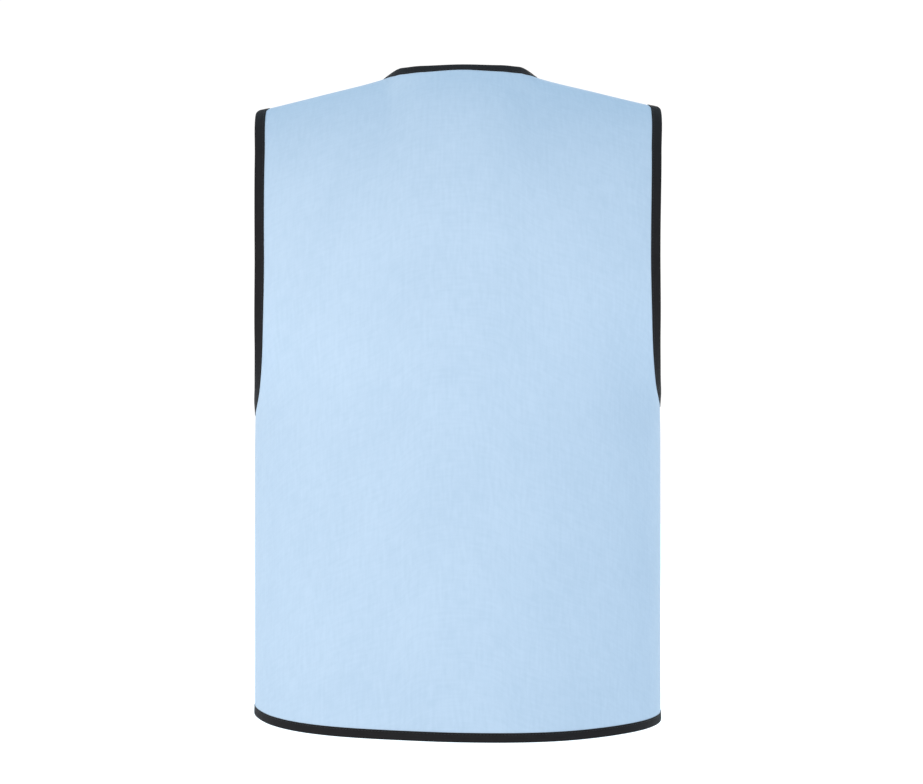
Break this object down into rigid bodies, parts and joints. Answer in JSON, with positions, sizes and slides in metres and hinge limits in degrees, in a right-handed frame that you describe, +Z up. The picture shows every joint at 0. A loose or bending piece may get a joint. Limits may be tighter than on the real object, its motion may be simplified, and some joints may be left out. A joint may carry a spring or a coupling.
{
  "type": "identification vest",
  "caption": "Boxy sleeveless identification vest of thin woven cloth with a V neck, front zip and folded tape binding at neck, armholes and hem.",
  "frame": {"origin": "midway between the two points where the neck meets the shoulders, on the ridge of the shoulders", "axes": "+Z up the vest, -Y out of the back, +X to the wearer's right"},
  "size_m": [0.4218, 0.3088, 0.6693],
  "materials": {
    "cloth": "pale blue plain woven polyester, matt with a faint sheen",
    "binding": "near-black woven tape, folded over the edge and sewn",
    "zip": "near-black moulded chain on woven tape"
  },
  "bodies": {
    "root": {"back_panel": "cloth", "front_panel_left": "cloth", "front_panel_right": "cloth", "neck_binding": "binding", "armhole_binding_left": "binding", "armhole_binding_right": "binding", "hem_binding": "binding", "front_zip": "zip"}
  },
  "joints": []
}
